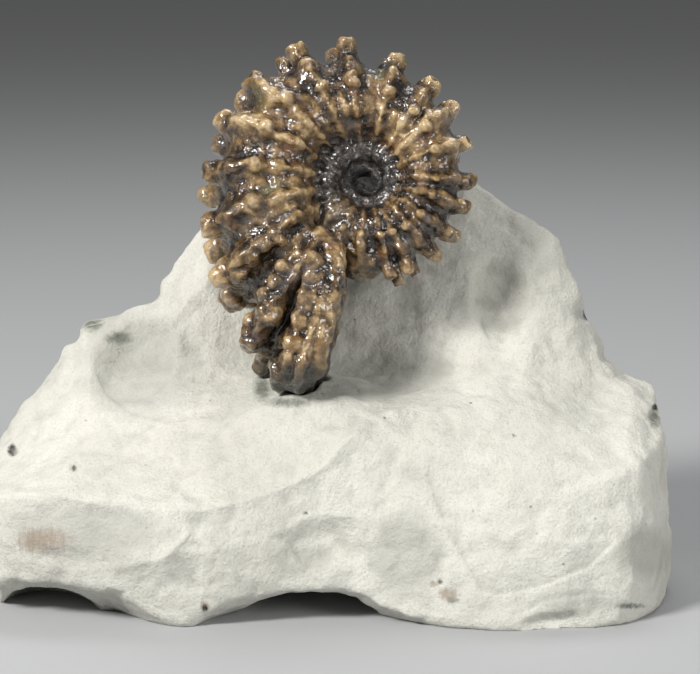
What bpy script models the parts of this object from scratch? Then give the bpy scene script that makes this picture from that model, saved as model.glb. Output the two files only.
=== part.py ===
"""Fossil ammonite standing on its block of pale marl.

The object has two pieces. The shell is one thing that grew: a coiled tube with ribs, two rows
of pegs round its outer edge and smaller knobs on its flanks, filled with stone. The matrix is
the broken block of marl that still grips the end of the shell's body chamber.

Lengths are written in millimetres and the finished meshes are turned into metres. +Z is up.
The coil's near flank faces -Y and leans back, and its growth runs anticlockwise seen from there.
Angles along the coil are in degrees, 0 at its right-hand side (+X) and 90 at its top.
"""

import math

import bmesh
import bpy
from mathutils import Matrix, Vector, noise

MM = 0.001

# The frame: the block's own origin is shifted so that the whole object's box is centred on 0, 0.
BOX_SHIFT = Vector((1.578, 1.671, 0.0))

# The coil's axis
POLE = Vector((7.56, -2.0, 80.3))
LEAN = math.radians(20)

# The tube of the shell
VENTER_RADIUS = 28.4        # from the pole to the valley between two ribs, at 180 degrees
TURN_GROWTH = 2.2           # how much larger one whole turn later
DORSAL_SHARE = 0.35         # inner side of the tube as a share of its outer radius
BREADTH_SHARE = 0.37        # half the tube's breadth as a share of its outer radius
SECTION_POWER = 2.5         # 2 is an ellipse, more is squarer
FIRST_ANGLE = -880          # innermost turn
LAST_ANGLE = 257            # broken end of the body chamber
CHAMBER_ANGLE = 205         # from here the body chamber opens away from the spiral
CHAMBER_SPAN = 50           # degrees over which it opens
CHAMBER_RISE = 0.34         # how much further out its outer side gets, as a share
RISE_POWER = 1.3
CHAMBER_CLEARANCE = 6.2     # how far its inner side moves out
CLEARANCE_POWER = 1.5
CHAMBER_NARROWING = 0.12
END_ROUNDING = 9            # degrees over which the broken end rounds off
END_SHARE = 0.30            # size of the end face as a share of the tube
RIB_SPACING = 18.5
RIB_LEAN = 4.6              # how many degrees further on a rib lies on the far side

# Places where the coil bulges or sinks from an even spiral: angle, share of the radius, spread
UNEVENNESS = [(138, 0.08, 25), (5, -0.05, 55)]

# Shapes of the relief, in millimetres on a whorl of the driving radius
RIB_WIDTH = 4.6             # degrees
FINE_RIB_WIDTH = 2.8
FLANK_RISE = 1.0
SHOULDER_RISE, SHOULDER_HEIGHT, SHOULDER_WIDTH = 1.2, 0.32, 0.22
EDGE_RISE, EDGE_HEIGHT, EDGE_WIDTH = 2.2, 0.86, 0.2
VALLEY_OF_MIDDLE, MIDDLE_WIDTH = 1.0, 0.1
CHAMBER_VALLEY = 3.6        # how deep the body chamber sinks between its ribs
VALLEY_START, VALLEY_FADE = 0.15, 0.3   # height shares where those valleys begin and how fast

# Near row of pegs on the last turn: angle, radius at the tip
PEGS = [
    (-76, 20.8), (-65.4, 20.3), (-49.5, 20.5), (-33.9, 20.9), (-16.3, 20.6), (-0.7, 21.3),
    (21, 22.3), (40.4, 23.4), (55.7, 25.1), (76, 26.9), (98.2, 29.2), (117.8, 31.3), (139, 31.6),
    (157.4, 31.9), (177.6, 32.6), (197.4, 34.4), (214.9, 36.8), (235.5, 42.0), (247.4, 45.5),
]
LAST_RIB = 252              # it carries no pegs
PEG_RADIUS_SHARE = 0.094
PEG_BLUNTNESS = 2.8         # 2 is round, more is flatter at the tip
PEG_TAPER = 0.10            # how much thinner than its middle a peg is at the tip
PEG_FOOT_SHARE = 0.86       # where the pegs start, as a share of the outer radius
FAR_PEG_REACH = 0.8         # how much further out the far row reaches
ROW_SHARE = 0.16            # distance of a row of pegs from the tube's middle plane
ROW_AT_FOOT, ROW_AT_TIP = 0.8, 1.3      # pegs splay outward from foot to tip

# Knobs in the middle of each rib: radius, size and height as shares of the outer radius
FLANK_KNOBS = [(0.74, 0.066, 0.105), (0.57, 0.046, 0.058)]
KNOB_LEAN = 0.15            # how far a knob leans outward, as a share of its height
KNOB_OFFSET = -1            # degrees from the rib's middle to its knobs
SMALLEST_WHORL = 6          # turns smaller than this carry no knobs
PLUG_RADIUS, PLUG_HALF_THICKNESS = 3.2, 0.7

# The broken lump under the coil: angle, radius from the pole, half length across the coil, thickness
BROKEN_LUMP = (-93, 14.4, 5.6, 4.7)

# Ribs of the body chamber: each is a chain of knobs, with angle, radius from the pole and size
CHAMBER_RIBS = [
    [(214.9, 34.0, 2.2), (217.9, 31.2, 2.1), (216.4, 27.5, 2.0), (217, 24.4, 1.7), (219, 21.6, 1.3)],
    [(235.5, 38.9, 2.3), (233.4, 36.2, 2.0), (236, 33.2, 2.7), (231.5, 31.0, 1.8), (231.7, 28.0, 1.9),
     (231, 24.8, 1.7), (231.5, 21.6, 1.5)],
    [(247.4, 43.0, 2.2), (245.3, 40.4, 1.9), (247.8, 36.2, 2.5), (246.6, 32.0, 2.0), (244.6, 27.4, 1.9),
     (243.5, 23.4, 1.8), (239.5, 20.6, 2.6)],
]
LAST_BEAD_ANGLE = 251       # no bead lies further on, on either side

# Rounded edge of the broken end, from the seam of the coil down: angle, radius, distance across, thickness
END_EDGE = [(213, 16.5, 6.5, 1.5), (232, 15.6, 7.5, 1.9), (248, 16.2, 8.3, 2.6), (252.6, 22, 9.2, 2.4),
            (254, 28.4, 9.8, 2.2), (255, 35, 9.2, 2.2), (255.5, 40, 6.5, 2.2)]
# The filled strip between that edge and the last rib, in the same order
END_FILL = [(248.5, 21.5, 7.0, 3.9), (250.2, 27, 8.0, 4.3), (250.8, 33, 7.9, 4.3), (251, 39, 6.4, 3.7),
            (251, 42, 4.0, 2.8)]
BEAD_HEIGHT = 1.25          # how far a bead of a chain stands out, as a share of its size
LINK_OVERLAP = 0.7          # how far a link runs past its ends, as a share of its thickness
LINK_SIZE = 0.75            # thickness of the ridge between two beads, as a share of their size

# Character lines of the block, left to right. Each point: x, depth y, height z.
BASE_FRONT = [(-71, -8, -3), (-64, -18, -3), (-50, -20, -3), (-40, -22, -3), (-34, -31, -3), (-27, -36, -3),
              (-22, -27, -3), (-18, -20, -3), (0, -18, -3), (11, -24, -3), (18, -31, -3), (30, -37, -3),
              (45, -39, -3), (58, -34, -3), (64, -25, -3), (68, -8, -3)]
TOE = [(-71.5, -14, 5), (-64, -30, 7), (-50, -35, 7.2), (-40.3, -37, 7.2), (-37, -37.5, 4.2), (-31, -38, 0.8),
       (-27.7, -38.5, 0), (-24, -38, 1), (-21, -37.5, 3.6), (-16, -37, 4.8), (-7, -36.5, 6.3), (4, -36, 6.6),
       (11, -37, 3), (18, -38, 1.6), (30, -40, 0.2), (45, -41, 0), (56, -38, 0.6), (61, -32, 1), (65, -25, 1),
       (68.5, -8, 1)]
FACE = [(-72, -18, 12), (-64, -31, 15), (-50, -36, 16), (-33, -38.5, 14), (-18, -37.5, 15), (-8, -36, 18),
        (8, -34.5, 20), (28, -36.5, 19), (45, -38.5, 17), (58, -35, 17), (64, -27, 17), (68, -10, 18)]
LIP = [(-72, -14, 19), (-64, -30, 24), (-50, -33.5, 25), (-33, -34.5, 23.5), (-14, -33.5, 23.8),
       (-8, -32, 25.5), (-2, -30, 29.5), (3, -27.5, 34), (15, -27.5, 35), (28, -30, 32), (40, -33, 29),
       (52, -32.5, 27), (60, -28, 29), (67, -12, 32)]
SHELF = [(-71.5, -6, 21), (-64, -14, 27), (-50, -17, 32), (-33, -18, 33), (-18, -20, 37), (-8, -21.5, 41.3),
         (3, -19.5, 41), (15, -17.5, 39), (28, -20, 38), (40, -22, 36.5), (52, -20, 34.5), (60, -14, 37),
         (67, -5, 37)]
FOOT = [(-71.5, 0, 21.5), (-64, -2, 30), (-50, -1, 41), (-38, -3, 44), (-25, -2, 44), (-8, 0.5, 44.5),
        (3, 0, 43), (15, -3, 42), (28, -4, 44), (40, -5, 44), (52, -6, 39), (60, -2, 40.5), (67, 2, 38)]
WALL = [(-71, 5, 22), (-64, 4, 31), (-50, 5, 47), (-38, 4, 51), (-25, 5, 60), (-8, 7.5, 62), (15, 8, 64),
        (28, 6.5, 66), (40, 5, 61), (52, 2, 48), (60, 4, 41), (67, 6, 38.5)]
RIDGE = [(-71, 8, 22), (-67, 7, 27), (-61, 8, 35), (-57, 9, 39.7), (-54.5, 9, 46.5), (-49, 9, 51.4),
         (-45, 9, 50.2), (-42.4, 9, 53.5), (-37, 10, 55.5), (-33.5, 11, 61), (-30, 11, 65.6),
         (-24.4, 12, 72.6), (-10, 15, 81), (8, 16.5, 85), (20, 16, 84.5), (28.4, 14, 81.4), (35.5, 13, 75),
         (41, 12, 72.2), (46, 11, 68.6), (48.8, 10, 62), (51.8, 9, 55.6), (53.8, 8, 50.5), (57.2, 8, 43.4),
         (60, 9, 41.3), (64.6, 9, 39.7), (67, 9, 38.2)]
BACK_RIDGE = [(-70.5, 12, 21), (-61, 13, 34), (-50, 15, 49.5), (-37, 16, 54), (-24.4, 19, 71),
              (-10, 22, 79.5), (8, 23, 83.5), (28.4, 20, 80), (41, 18, 70.5), (51.8, 14, 53.5),
              (60, 15, 40), (67, 14, 36.5)]
BACK = [(-70, 15, 14), (-61, 22, 22), (-50, 27, 30), (-25, 31, 43), (0, 33.5, 50), (28, 33, 48),
        (45, 30, 38), (60, 24, 26), (67, 17, 22)]
BACK_LOW = [(-70, 16, 6), (-61, 27, 7), (-50, 32, 9), (-25, 35, 10), (0, 37, 13), (28, 36.5, 12),
            (45, 33, 9), (60, 26, 8), (67.5, 18, 8)]
BASE_BACK = [(-70, 12, -3), (-61, 23, -3), (-50, 29, -3), (0, 34, -3), (28, 33.5, -3), (45, 30, -3),
             (60, 23, -3), (67, 14, -3)]
BLOCK_LINES = [BASE_FRONT, TOE, FACE, LIP, SHELF, FOOT, WALL, RIDGE, BACK_RIDGE, BACK, BACK_LOW, BASE_BACK]
BLOCK_STATIONS = 56

# Hollows in the block: centre, half sizes, turn about the vertical in degrees
SOFT_HOLLOWS = [
    ((1, -58, 17), (21, 24.6, 15), 0),          # wide shallow dish in the front face
    ((20, -54, 13), (4.5, 18.5, 12), -4),       # upright hollow right of the dish
    ((36, -6, 61), (8.5, 14, 13), 12),          # shallow scoop in the right-hand wall
    ((-42, -12, 51), (15, 18, 14), -16),        # hollow in the left-hand wall
]
SHARP_HOLLOWS = [
    ((-53, -37, -2.5), (12, 27, 8.6), 8),       # arch under the left end
    ((-4, -33, -2.5), (15, 22, 8.4), -6),       # arch under the middle
    ((50, -46, 1.5), (17, 8, 4), -8),           # chipped band at the right foot
    ((-24, -56, 10), (16, 18.6, 18), 14),       # broad chip off the front
    ((44, -57.5, 22), (56, 20, 44), 0),         # wide conchoidal scar on the right
]

# How fine the solids are
RING_STEP = 3.0             # degrees between two rings of the tube
RING_POINTS = 40
END_LENGTH, END_STEP = 6, 0.5           # finer rings over the last degrees
BALL_SUBDIVISIONS = 3
BALL_POLE = 0.01            # nearer its axis than this, a knob isn't squared off
FLANK_LIMIT = 0.98          # share of the tube's half height up to which its breadth is worked out
CUTTER_SUBDIVISIONS = 4
SMOOTHING = 0.5
SHELL_ROUNDS, BLOCK_ROUNDS = 2, 3
SHELL_VOXEL = 0.62
LUMP_SIZE, LUMP_RISE = 3.4, 0.5
SHELL_TRIANGLES = 6300
BLOCK_VOXEL = 1.1
DRAFT_TRIANGLES = 12000
BLOCK_TRIANGLES = 3200
SHORTEST_EDGE = 0.05
CHIP_SIZE, CHIP_DEPTH = 13.0, 1.3           # flat-sided flakes
CHIP_LEVEL = 0.5                            # height within a flake that stays where it is
SWELL_SIZE, SWELL_DEPTH = 28.0, 1.2         # broad waves
SOCKET_GAP = 0.65
SOCKET_VOXEL = 0.5
SOCKET_TOP = 60.0
SOCKET_TRIANGLES = 900

# Finishes; an edge sharper than the crease angle, in degrees, isn't shaded smooth
SHELL_COLOUR, SHELL_ROUGHNESS, SHELL_CREASE = (0.25, 0.145, 0.07), 0.28, 60
MARL_COLOUR, MARL_ROUGHNESS, MARL_CREASE = (0.66, 0.65, 0.6), 0.85, 35

def clear_scene():
    """Remove whatever the opened scene holds."""
    for old in list(bpy.data.objects):
        bpy.data.objects.remove(old, do_unlink=True)


def coil_axes():
    """Return the coil's right, up and away directions."""
    up = Vector((0, math.sin(LEAN), math.cos(LEAN)))
    away = Vector((0, math.cos(LEAN), -math.sin(LEAN)))
    return Vector((1, 0, 0)), up, away


def coil_point(angle, radius, across):
    """Return the point at an angle and radius round the pole, and a distance behind the middle plane."""
    right, up, away = coil_axes()
    turn = math.radians(angle)
    return POLE + radius * (math.cos(turn) * right + math.sin(turn) * up) + across * away


def spiral(angle):
    """Return the outer radius of the tube before the body chamber opens."""
    uneven = sum(share * bump(angle - place, spread) for place, share, spread in UNEVENNESS)
    return VENTER_RADIUS * TURN_GROWTH ** ((angle - 180) / 360) * (1 + uneven)


def opening(angle):
    """Return how far the body chamber has opened, 0 before it and about 1 at its end."""
    return max(0.0, (angle - CHAMBER_ANGLE) / CHAMBER_SPAN)


def section(angle):
    """Return the tube's middle radius, half height and half breadth."""
    outer = spiral(angle) * (1 + CHAMBER_RISE * opening(angle) ** RISE_POWER)
    inner = DORSAL_SHARE * spiral(angle) + CHAMBER_CLEARANCE * opening(angle) ** CLEARANCE_POWER
    close = min(1.0, max(0.0, (LAST_ANGLE - angle) / END_ROUNDING))
    rounding = END_SHARE + (1 - END_SHARE) * math.sqrt(1 - (1 - close) ** 2)
    broad = BREADTH_SHARE * spiral(angle) * (1 - CHAMBER_NARROWING * opening(angle))
    return (outer + inner) / 2, (outer - inner) / 2 * rounding, broad * rounding


def signed_power(value, power):
    """Return a power that keeps the sign."""
    return math.copysign(abs(value) ** power, value)


def rib_angles():
    """Return the near-side angles of all ribs, from the first turn to the last."""
    first = PEGS[0][0]
    earlier = [first - RIB_SPACING * step for step in range(int((first - FIRST_ANGLE) / RIB_SPACING), 0, -1)]
    return earlier + [angle for angle, tip in PEGS] + [LAST_RIB]


def rib_shift(across, outer):
    """Return how many degrees further on a rib lies at a distance across the tube."""
    share = max(-1.0, min(1.0, across / (ROW_SHARE * outer)))
    return RIB_LEAN / 2 * (1 + share)


def bump(distance, width):
    """Return a smooth hump that is 1 at no distance."""
    return math.exp(-(distance / width) ** 2)


def relief(angle, height_share, across, ribs):
    """Return how far the ribs push the surface out, where height_share is 0 inside and 1 outside."""
    outer = spiral(angle)
    here = angle - rib_shift(across, outer)
    nearest = min(ribs, key=lambda rib: abs(rib - here))
    main = bump(here - nearest, RIB_WIDTH)
    between = bump(abs(here - nearest) - RIB_SPACING / 2, FINE_RIB_WIDTH)
    shoulder = SHOULDER_RISE * bump(height_share - SHOULDER_HEIGHT, SHOULDER_WIDTH)
    edge = EDGE_RISE * bump(height_share - EDGE_HEIGHT, EDGE_WIDTH)
    middle = VALLEY_OF_MIDDLE * bump(across / outer, MIDDLE_WIDTH)
    reach = min(1.0, 2 * opening(angle)) * max(0.0, min(1.0, (height_share - VALLEY_START) / VALLEY_FADE))
    valley = CHAMBER_VALLEY * reach * (1 - main)
    rise = main * (FLANK_RISE + shoulder + edge - middle) + between * shoulder - valley
    return rise * outer / VENTER_RADIUS


def shell_ring(bm, angle, ribs):
    """Add one closed ring of the tube and return its edges."""
    middle, tall, broad = section(angle)
    made = bmesh.ops.create_circle(bm, segments=RING_POINTS, radius=1.0)["verts"]
    for index, vert in enumerate(made):
        turn = 2 * math.pi * index / RING_POINTS
        radial = signed_power(math.cos(turn), 2 / SECTION_POWER)
        sideways = signed_power(math.sin(turn), 2 / SECTION_POWER)
        push = relief(angle, (radial + 1) / 2, sideways * broad, ribs)
        radius = middle + radial * tall + push * math.cos(turn)
        vert.co = coil_point(angle, radius, sideways * broad + push * math.sin(turn))
    return list({edge for vert in made for edge in vert.link_edges})


def shell_tube(bm):
    """Add the whole coiled tube: rings along the spiral, joined one to the next, both ends capped."""
    ribs = rib_angles()
    end_start = LAST_ANGLE - END_LENGTH
    angles = [FIRST_ANGLE + RING_STEP * index for index in range(int((end_start - FIRST_ANGLE) / RING_STEP))]
    angles += [end_start + END_STEP * index for index in range(int(END_LENGTH / END_STEP) + 1)]
    before = shell_ring(bm, angles[0], ribs)
    bmesh.ops.contextual_create(bm, geom=before)
    for angle in angles[1:]:
        ring = shell_ring(bm, angle, ribs)
        bmesh.ops.bridge_loops(bm, edges=before + ring)
        before = ring
    bmesh.ops.contextual_create(bm, geom=before)


def unit_ball():
    """Return the round starting mesh of every knob."""
    bm = bmesh.new()
    bmesh.ops.create_icosphere(bm, subdivisions=BALL_SUBDIVISIONS, radius=1.0)
    return mesh_from(bm, "ball")


def knob(bm, ball, foot, tip, radius):
    """Add a blunt-ended peg that narrows from foot to tip."""
    first = len(bm.verts)
    bm.from_mesh(ball)
    bm.verts.ensure_lookup_table()
    along = tip - foot
    turn = along.to_track_quat("Z", "Y").to_matrix()
    for vert in bm.verts[first:]:
        side = math.hypot(vert.co.x, vert.co.y)
        fuller = signed_power(side, 2 / PEG_BLUNTNESS) / side if side > BALL_POLE else 1.0
        height = signed_power(vert.co.z, 2 / PEG_BLUNTNESS)
        thick = fuller * radius * (1 - PEG_TAPER * height)
        local = Vector((vert.co.x * thick, vert.co.y * thick, height * along.length / 2))
        vert.co = (foot + tip) / 2 + turn @ local


def flank_depth(angle, radius):
    """Return the half breadth of the tube at a radius from the pole."""
    middle, tall, broad = section(angle)
    share = min(FLANK_LIMIT, abs((radius - middle) / tall))
    return broad * (1 - share ** SECTION_POWER) ** (1 / SECTION_POWER)


def flank_knob(bm, ball, angle, radius, size, height, side):
    """Add a knob that stands out of a flank: side is -1 near and 1 far."""
    depth = flank_depth(angle, radius)
    foot = coil_point(angle, radius, side * (depth - size))
    tip = coil_point(angle, radius + KNOB_LEAN * height, side * (depth + height))
    knob(bm, ball, foot, tip, size)


def venter_pegs(bm, ball):
    """Add the two rows of pegs round the outer edge of the last turn."""
    for angle, tip_radius in PEGS:
        outer = spiral(angle)
        radius = PEG_RADIUS_SHARE * outer
        for side in (-1, 1):
            place = angle + RIB_LEAN / 2 * (1 + side)
            row = side * ROW_SHARE * outer
            reach = tip_radius + (FAR_PEG_REACH if side > 0 else 0.0)
            foot = coil_point(place, outer * PEG_FOOT_SHARE, row * ROW_AT_FOOT)
            tip = coil_point(place, reach, row * ROW_AT_TIP)
            knob(bm, ball, foot, tip, radius)


def flank_knobs(bm, ball):
    """Add the knobs in the middle of each rib, on every turn, and the chains on the body chamber."""
    for angle in rib_angles():
        outer = spiral(angle)
        if outer < SMALLEST_WHORL or angle > CHAMBER_ANGLE:
            continue
        for side in (-1, 1):
            place = angle + RIB_LEAN / 2 * (1 + side) + KNOB_OFFSET
            for radius, size, height in FLANK_KNOBS:
                flank_knob(bm, ball, place, radius * outer, size * outer, height * outer, side)
    for side in (-1, 1):
        for chain in CHAMBER_RIBS:
            chamber_rib(bm, ball, chain, side)
        end_edge(bm, ball, side)


def chamber_rib(bm, ball, chain, side):
    """Add one strong rib of the body chamber: a row of beads with a ridge running through them."""
    lean = RIB_LEAN / 2 * (1 + side)
    places = []
    for angle, radius, size in chain:
        place = min(angle + lean, LAST_BEAD_ANGLE)
        places.append(coil_point(place, radius, side * flank_depth(angle, radius)))
        flank_knob(bm, ball, place, radius, size, BEAD_HEIGHT * size, side)
    for start, end, first, second in zip(places, places[1:], chain, chain[1:]):
        thick = LINK_SIZE * (first[2] + second[2]) / 2
        reach = (end - start).normalized() * thick
        knob(bm, ball, start - reach, end + reach, thick)


def end_edge(bm, ball, side):
    """Add the broken end's rounded edge and the strip beside it, one thick link after another."""
    for first, second in [*zip(END_EDGE, END_EDGE[1:]), *zip(END_FILL, END_FILL[1:])]:
        start = coil_point(first[0], first[1], side * first[2])
        end = coil_point(second[0], second[1], side * second[2])
        thick = (first[3] + second[3]) / 2
        reach = (end - start).normalized() * thick * LINK_OVERLAP
        knob(bm, ball, start - reach, end + reach, thick)


def broken_lump(bm, ball):
    """Add the lump with a blunt broken face under the coil."""
    angle, radius, half_length, thickness = BROKEN_LUMP
    knob(bm, ball, coil_point(angle, radius, half_length), coil_point(angle, radius, -half_length), thickness)


def umbilical_plug(bm):
    """Add the stone that closes the very middle of the coil."""
    made = bmesh.ops.create_icosphere(bm, subdivisions=BALL_SUBDIVISIONS, radius=1.0)["verts"]
    right, up, away = coil_axes()
    for vert in made:
        flat = PLUG_RADIUS * (vert.co.x * right + vert.co.y * up)
        vert.co = POLE + flat + PLUG_HALF_THICKNESS * vert.co.z * away


def modified(mesh, steps):
    """Return a new mesh: the given one after a list of modifiers, each a type and its values."""
    helper = bpy.data.objects.new("helper", mesh)
    bpy.context.scene.collection.objects.link(helper)
    for kind, values in steps:
        modifier = helper.modifiers.new(kind.lower(), kind)
        for name, value in values.items():
            setattr(modifier, name, value)
    result = bpy.data.meshes.new_from_object(helper.evaluated_get(bpy.context.evaluated_depsgraph_get()))
    bpy.data.objects.remove(helper)
    return result


def thinned(mesh, triangles):
    """Return the mesh with about the given number of triangles, kept where the shape bends most."""
    mesh = modified(mesh, [("TRIANGULATE", {})])
    ratio = min(1.0, triangles / len(mesh.polygons))
    return modified(mesh, [("DECIMATE", {"ratio": ratio}), ("TRIANGULATE", {})])


def mesh_from(bm, name):
    """Turn a bmesh into a mesh and free it."""
    bmesh.ops.recalc_face_normals(bm, faces=bm.faces)
    mesh = bpy.data.meshes.new(name)
    bm.to_mesh(mesh)
    bm.free()
    return mesh


def largest_body(mesh):
    """Delete every loose bit of a mesh but the largest, and its slivers."""
    bm = bmesh.new()
    bm.from_mesh(mesh)
    unseen = set(bm.verts)
    bodies = []
    while unseen:
        stack = [unseen.pop()]
        body = []
        while stack:
            vert = stack.pop()
            body.append(vert)
            for edge in vert.link_edges:
                other = edge.other_vert(vert)
                if other in unseen:
                    unseen.remove(other)
                    stack.append(other)
        bodies.append(body)
    bodies.sort(key=len)
    for body in bodies[:-1]:
        bmesh.ops.delete(bm, geom=body, context="VERTS")
    bmesh.ops.dissolve_degenerate(bm, dist=SHORTEST_EDGE, edges=bm.edges)
    bmesh.ops.triangulate(bm, faces=bm.faces)
    return mesh_from(bm, mesh.name)


def lumpy_skin(mesh):
    """Push the shell's skin in and out by a smooth noise."""
    normals = [normal.vector.copy() for normal in mesh.vertex_normals]
    for vert, normal in zip(mesh.vertices, normals):
        vert.co += normal * LUMP_RISE * noise.noise(vert.co / LUMP_SIZE)


def shell_mesh():
    """Model the ammonite: tube and knobs grown together into one skin."""
    bm = bmesh.new()
    shell_tube(bm)
    ball = unit_ball()
    venter_pegs(bm, ball)
    flank_knobs(bm, ball)
    umbilical_plug(bm)
    broken_lump(bm, ball)
    fused = modified(mesh_from(bm, "shell"), [
        ("REMESH", {"mode": "VOXEL", "voxel_size": SHELL_VOXEL}),
        ("SMOOTH", {"factor": SMOOTHING, "iterations": SHELL_ROUNDS}),
    ])
    lumpy_skin(fused)
    return largest_body(thinned(fused, SHELL_TRIANGLES))


def line_point(line, share):
    """Return the point of a character line at a share of its length from left to right."""
    x = line[0][0] + share * (line[-1][0] - line[0][0])
    for left, right in zip(line, line[1:]):
        if x <= right[0]:
            part = (x - left[0]) / (right[0] - left[0])
            return Vector(left).lerp(Vector(right), max(0.0, part))
    return Vector(line[-1])


def block_loft(bm):
    """Add the block: rings across it through every character line, joined and capped."""
    before = None
    for station in range(BLOCK_STATIONS + 1):
        share = station / BLOCK_STATIONS
        ring = bmesh.ops.create_circle(bm, segments=len(BLOCK_LINES), radius=1.0)["verts"]
        for vert, line in zip(ring, BLOCK_LINES):
            vert.co = line_point(line, share)
        edges = list({edge for vert in ring for edge in vert.link_edges})
        if before is None:
            bmesh.ops.contextual_create(bm, geom=edges)
        else:
            bmesh.ops.bridge_loops(bm, edges=before + edges)
        before = edges
    bmesh.ops.contextual_create(bm, geom=before)
    bmesh.ops.triangulate(bm, faces=bm.faces)


def ellipsoid(name, centre, half_sizes, turn):
    """Return a cutter object in the shape of an ellipsoid."""
    bm = bmesh.new()
    place = Matrix.Translation(centre) @ Matrix.Rotation(math.radians(turn), 4, "Z")
    place = place @ Matrix.Diagonal((*half_sizes, 1.0))
    bmesh.ops.create_icosphere(bm, subdivisions=CUTTER_SUBDIVISIONS, radius=1.0, matrix=place)
    return cutter(name, mesh_from(bm, name))


def cutter(name, mesh):
    """Return a hidden helper object that only cuts."""
    helper = bpy.data.objects.new(name, mesh)
    helper.hide_render = True
    helper.display_type = "WIRE"
    bpy.context.scene.collection.objects.link(helper)
    return helper


def cut_away(mesh, helper):
    """Return the mesh without the helper's volume, and remove the helper."""
    result = modified(mesh, [("BOOLEAN", {"operation": "DIFFERENCE", "solver": "EXACT", "object": helper})])
    bpy.data.objects.remove(helper)
    return result


def hollowed(mesh, hollows):
    """Return the mesh after a list of ellipsoids has been cut out of it."""
    for index, (centre, half_sizes, turn) in enumerate(hollows):
        mesh = cut_away(mesh, ellipsoid(f"hollow_{index}", centre, half_sizes, turn))
    return mesh


def chip_surface(mesh):
    """Push the skin in and out in flat-sided steps, as marl breaks."""
    normals = [normal.vector.copy() for normal in mesh.vertex_normals]
    for vert, normal in zip(mesh.vertices, normals):
        cell = noise.voronoi(vert.co / CHIP_SIZE)[0]
        chip = CHIP_DEPTH * (cell[1] - cell[0] - CHIP_LEVEL)
        vert.co += normal * (chip + SWELL_DEPTH * noise.noise(vert.co / SWELL_SIZE))


def cut_flat(bm, height, side):
    """Cut a bmesh off level at a height and close it; side is 1 to lose the top, -1 the bottom."""
    everything = list(bm.verts) + list(bm.edges) + list(bm.faces)
    cut = bmesh.ops.bisect_plane(bm, geom=everything, plane_co=(0, 0, height), plane_no=(0, 0, side),
                                 clear_outer=True)
    rim = [item for item in cut["geom_cut"] if isinstance(item, bmesh.types.BMEdge)]
    bmesh.ops.triangle_fill(bm, edges=rim, use_beauty=True)


def flat_base(mesh):
    """Cut the block off flat where it stands."""
    bm = bmesh.new()
    bm.from_mesh(mesh)
    cut_flat(bm, 0, -1)
    return mesh_from(bm, mesh.name)


def socket_cutter(shell):
    """Return the shell's lower end, a little larger, as the hollow that grips it."""
    swollen = modified(shell, [
        ("DISPLACE", {"strength": SOCKET_GAP, "mid_level": 0.0}),
        ("REMESH", {"mode": "VOXEL", "voxel_size": SOCKET_VOXEL}),
    ])
    bm = bmesh.new()
    bm.from_mesh(swollen)
    cut_flat(bm, SOCKET_TOP, 1)
    return cutter("socket", thinned(mesh_from(bm, "socket"), SOCKET_TRIANGLES))


def block_mesh(shell):
    """Model the matrix: loft, broken hollows, chipped skin, flat base and the shell's socket."""
    bm = bmesh.new()
    block_loft(bm)
    mesh = hollowed(mesh_from(bm, "block"), SOFT_HOLLOWS)
    mesh = modified(mesh, [
        ("REMESH", {"mode": "VOXEL", "voxel_size": BLOCK_VOXEL}),
        ("SMOOTH", {"factor": SMOOTHING, "iterations": BLOCK_ROUNDS}),
    ])
    chip_surface(mesh)
    mesh = hollowed(thinned(mesh, DRAFT_TRIANGLES), SHARP_HOLLOWS)
    mesh = flat_base(thinned(mesh, BLOCK_TRIANGLES))
    return largest_body(cut_away(mesh, socket_cutter(shell)))


def stone_material(name, colour, roughness):
    """Return a plain stone material."""
    material = bpy.data.materials.new(name)
    material.use_nodes = True
    surface = material.node_tree.nodes["Principled BSDF"]
    surface.inputs["Base Color"].default_value = (*colour, 1.0)
    surface.inputs["Roughness"].default_value = roughness
    surface.inputs["Metallic"].default_value = 0.0
    return material


def finished(name, mesh, material, sharp_angle):
    """Turn a mesh from millimetres into metres and make it a piece of the object."""
    mesh.name = name
    mesh.transform(Matrix.Scale(MM, 4) @ Matrix.Translation(BOX_SHIFT))
    mesh.materials.clear()
    mesh.materials.append(material)
    mesh.shade_smooth()
    mesh.set_sharp_from_angle(angle=math.radians(sharp_angle))
    piece = bpy.data.objects.new(name, mesh)
    bpy.context.scene.collection.objects.link(piece)
    return piece


def main():
    """Build both pieces."""
    clear_scene()
    shell = shell_mesh()
    block = block_mesh(shell)
    finished("ammonite", shell, stone_material("shell_brown", SHELL_COLOUR, SHELL_ROUGHNESS), SHELL_CREASE)
    finished("matrix", block, stone_material("marl_white", MARL_COLOUR, MARL_ROUGHNESS), MARL_CREASE)


main()
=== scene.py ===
# %% [markdown]
# # A fossil ammonite on its block of marl
# The object has two pieces: one coiled, spiny shell turned to glossy brown stone, and the pale
# broken block that still grips the shell's lower end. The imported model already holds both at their
# real size. This lesson makes their fine surfaces and finishes around it and never moves it.

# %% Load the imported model
import math

import bmesh
import bpy
import numpy as np
from mathutils import Matrix, Vector, noise


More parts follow.
